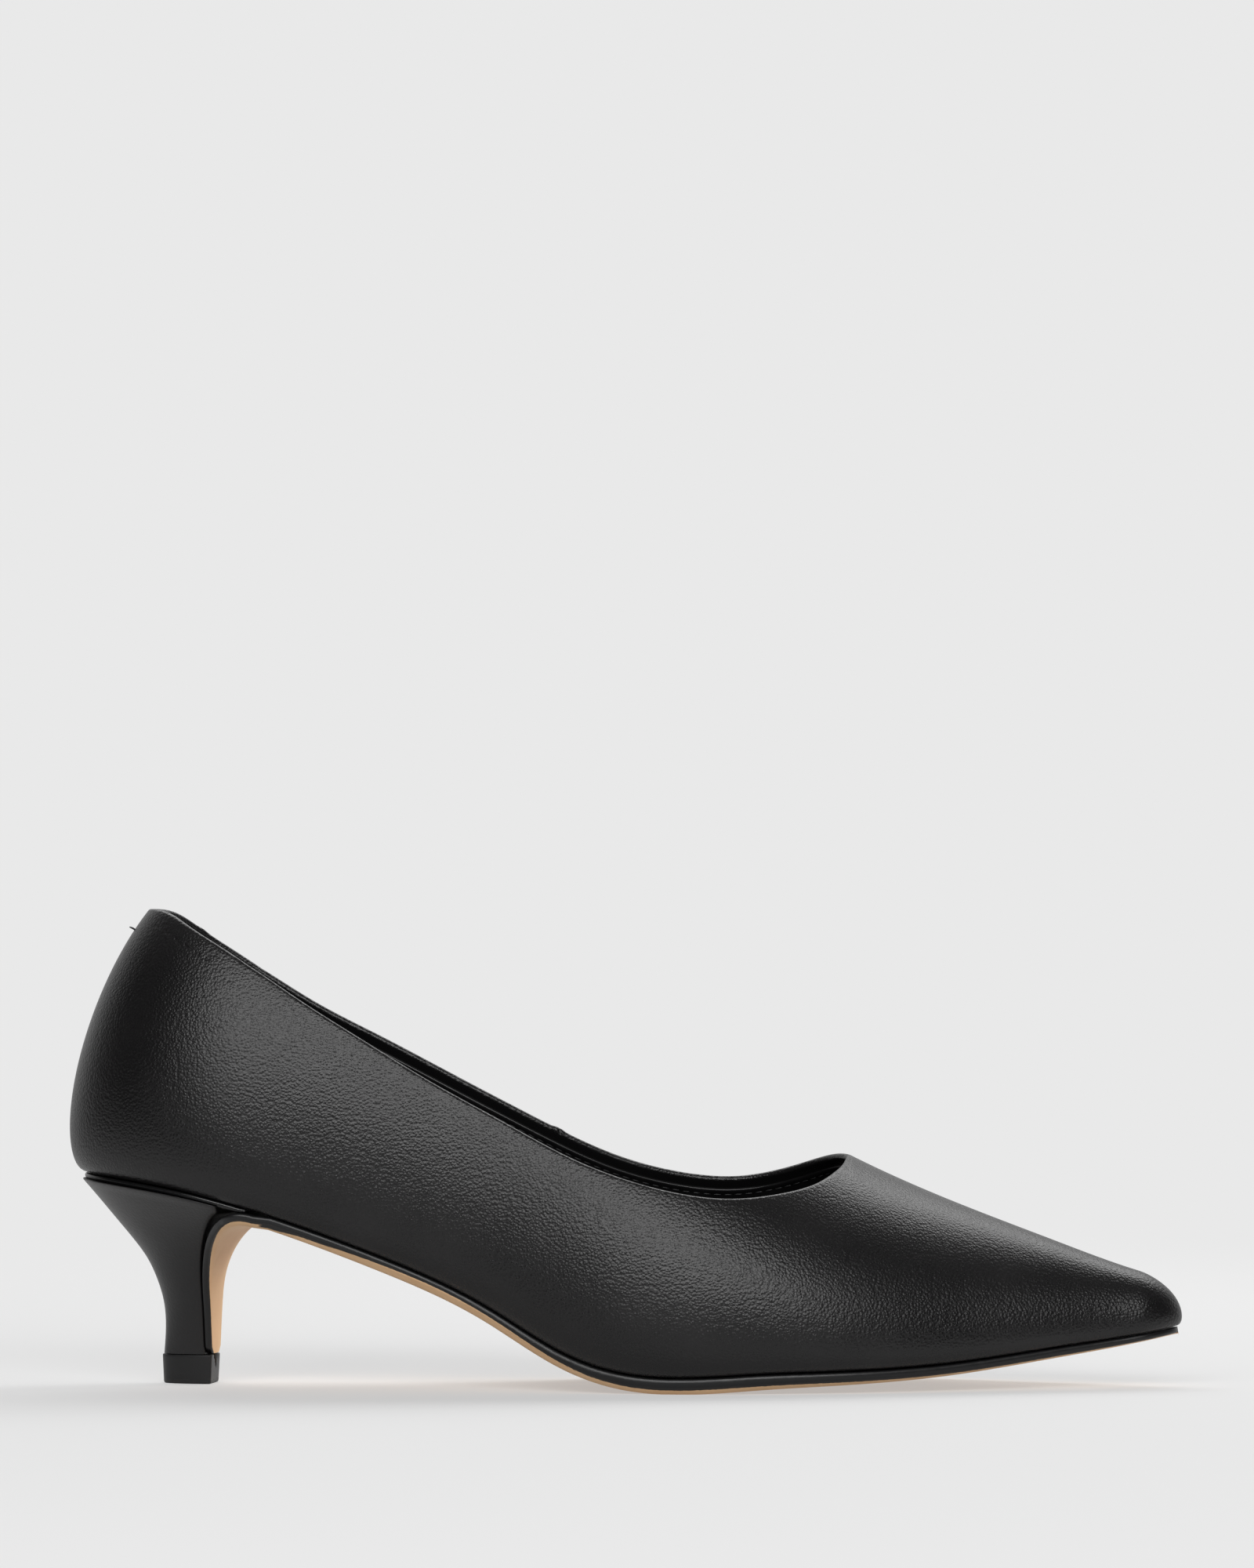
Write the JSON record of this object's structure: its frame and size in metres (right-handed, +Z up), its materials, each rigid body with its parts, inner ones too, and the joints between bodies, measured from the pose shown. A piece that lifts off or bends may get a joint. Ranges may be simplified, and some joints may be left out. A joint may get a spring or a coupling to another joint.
{
  "type": "kitten heel pump",
  "caption": "Black leather pump with a tapered toe, low-cut collar, thin leather sole and a short curved heel on a small top piece; a right shoe, open at the collar.",
  "frame": {"origin": "middle of the top piece's bottom face, on the floor", "axes": "+X from heel to toe, +Y to the inner (medial) side of the foot, +Z up"},
  "size_m": [0.2509, 0.0776, 0.1066],
  "materials": {
    "upper_leather": "fine pebbled black leather, satin",
    "sock_leather": "smooth black lining leather",
    "sole_leather": "smooth natural leather, edge painted black",
    "seat_edge": "glossy black edge paint",
    "heel_cover": "plastic block covered in satin black leather",
    "lift_plastic": "matte black"
  },
  "bodies": {
    "root": {"upper": "upper_leather", "insole": "sock_leather", "outsole": "sole_leather", "heel_seat": "seat_edge", "heel": "heel_cover", "top_piece": "lift_plastic"}
  },
  "joints": []
}
